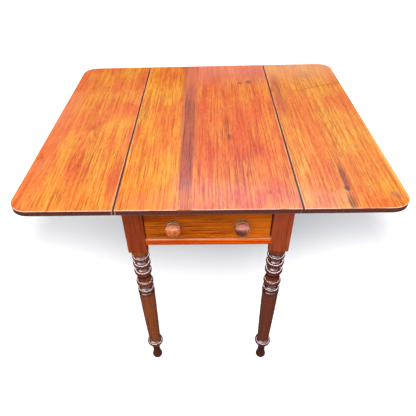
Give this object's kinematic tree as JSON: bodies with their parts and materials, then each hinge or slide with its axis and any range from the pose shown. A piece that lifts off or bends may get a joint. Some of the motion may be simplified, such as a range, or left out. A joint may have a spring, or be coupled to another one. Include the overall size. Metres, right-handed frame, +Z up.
{
  "type": "pembroke table",
  "caption": "Pembroke table with a fixed centre top, drop leaves on rule joints, swinging brackets under them, turned legs and an end drawer with turned knobs.",
  "frame": {"origin": "on the floor under the middle of the top", "axes": "+X across the leaves to the right as seen from the drawer, +Y away from the drawer end, +Z up"},
  "size_m": [0.996, 0.958, 0.73],
  "materials": {
    "top_wood": "glossy honey-orange varnish over straight-grained wood",
    "strip_wood": "glossy varnish over a darker, greyer strip",
    "leaf_wood": "glossy honey-orange varnish over figured wood",
    "leg_wood": "glossy red-brown varnish",
    "rail_wood": "glossy red-brown varnish",
    "drawer_wood": "glossy amber-brown varnish",
    "knob_wood": "glossy red-brown varnish",
    "inner_wood": "bare planed wood",
    "hinge_iron": "dark browned iron",
    "screw_steel": "dull steel"
  },
  "bodies": {
    "frame": {"back_left_leg": "leg_wood", "back_rail": "rail_wood", "back_right_leg": "leg_wood", "drawer_rail": "rail_wood", "drawer_stops": "inner_wood", "fly_rail_screws": "screw_steel", "front_left_leg": "leg_wood", "front_right_leg": "leg_wood", "glue_blocks": "inner_wood", "left_bracket_pin": "hinge_iron", "left_fly_rail_front": "rail_wood", "left_fly_rail_rear": "rail_wood", "left_guide": "inner_wood", "left_hinge_pins": "hinge_iron", "left_hinge_top_plates": "hinge_iron", "left_hinge_top_screws": "screw_steel", "left_kicker": "inner_wood", "left_runner": "inner_wood", "left_side_rail": "inner_wood", "right_bracket_pin": "hinge_iron", "right_fly_rail_front": "rail_wood", "right_fly_rail_rear": "rail_wood", "right_guide": "inner_wood", "right_hinge_pins": "hinge_iron", "right_hinge_top_plates": "hinge_iron", "right_hinge_top_screws": "screw_steel", "right_kicker": "inner_wood", "right_runner": "inner_wood", "right_side_rail": "inner_wood", "top_board_left": "top_wood", "top_board_right": "top_wood", "top_screws": "screw_steel", "top_strip": "strip_wood", "upper_rail": "rail_wood"},
    "left_flap": {"left_hinge_leaf_plates": "hinge_iron", "left_hinge_leaf_screws": "screw_steel", "left_leaf": "leaf_wood"},
    "right_flap": {"right_hinge_leaf_plates": "hinge_iron", "right_hinge_leaf_screws": "screw_steel", "right_leaf": "leaf_wood"},
    "left_bracket": {"left_fly_bracket": "rail_wood"},
    "right_bracket": {"right_fly_bracket": "rail_wood"},
    "drawer": {"drawer_back": "inner_wood", "drawer_bottom": "inner_wood", "drawer_front": "drawer_wood", "drawer_left_side": "inner_wood", "drawer_right_side": "inner_wood", "left_knob": "knob_wood", "right_knob": "knob_wood"}
  },
  "joints": [
    {"name": "left_leaf_hinge", "type": "hinge", "parent": "frame", "child": "left_flap", "pos_m": [-0.231, 0, 0.718], "axis": [0, 1, 0], "range_deg": [-90, 0]},
    {"name": "right_leaf_hinge", "type": "hinge", "parent": "frame", "child": "right_flap", "pos_m": [0.231, 0, 0.718], "axis": [0, -1, 0], "range_deg": [-90, 0]},
    {"name": "left_bracket_swing", "type": "hinge", "parent": "frame", "child": "left_bracket", "pos_m": [-0.2075, 0, 0.65], "axis": [0, 0, 1], "range_deg": [0, 90]},
    {"name": "right_bracket_swing", "type": "hinge", "parent": "frame", "child": "right_bracket", "pos_m": [0.2075, 0, 0.65], "axis": [0, 0, -1], "range_deg": [0, 90]},
    {"name": "drawer_slide", "type": "slide", "parent": "frame", "child": "drawer", "axis": [0, -1, 0], "range_m": [0, 0.33]}
  ]
}
